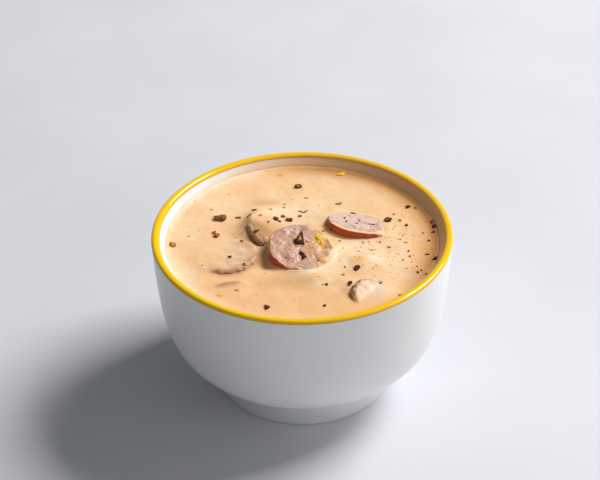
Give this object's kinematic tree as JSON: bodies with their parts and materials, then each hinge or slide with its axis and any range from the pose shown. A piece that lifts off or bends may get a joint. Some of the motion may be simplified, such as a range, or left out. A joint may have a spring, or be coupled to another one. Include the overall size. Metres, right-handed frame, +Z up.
{
  "type": "bowl of cheese soup with sausage slices",
  "caption": "Round footed ceramic bowl with a yellow rim, filled almost to the top with creamy cheese soup in which sausage slices lie under scattered pepper flakes.",
  "frame": {"origin": "middle of the foot's underside, on the surface that the bowl stands on", "axes": "+Z up through the middle of the bowl, -Y towards the front as pictured, +X to the right"},
  "size_m": [0.13, 0.13, 0.0779],
  "materials": {
    "white_glaze": "smooth white glaze with a glossy yellow glaze band over the lip and an unglazed foot ring",
    "cheese_soup": "wet, creamy, slightly grainy, with orange oil at the edge",
    "sausage_meat": "moist ground meat with a red-brown skin, filmed with soup",
    "pepper": "dry, rough, dark brown crushed peppercorn",
    "red_spice": "moist red-brown and orange spice specks",
    "orange_oil": "glossy drops of orange oil"
  },
  "bodies": {
    "root": {"bowl": "white_glaze", "soup": "cheese_soup", "sausage_slice_centre": "sausage_meat", "sausage_slice_behind": "sausage_meat", "sausage_slice_right": "sausage_meat", "sausage_slice_left": "sausage_meat", "sausage_piece_front_left": "sausage_meat", "sausage_piece_front_right": "sausage_meat"}
  },
  "joints": []
}
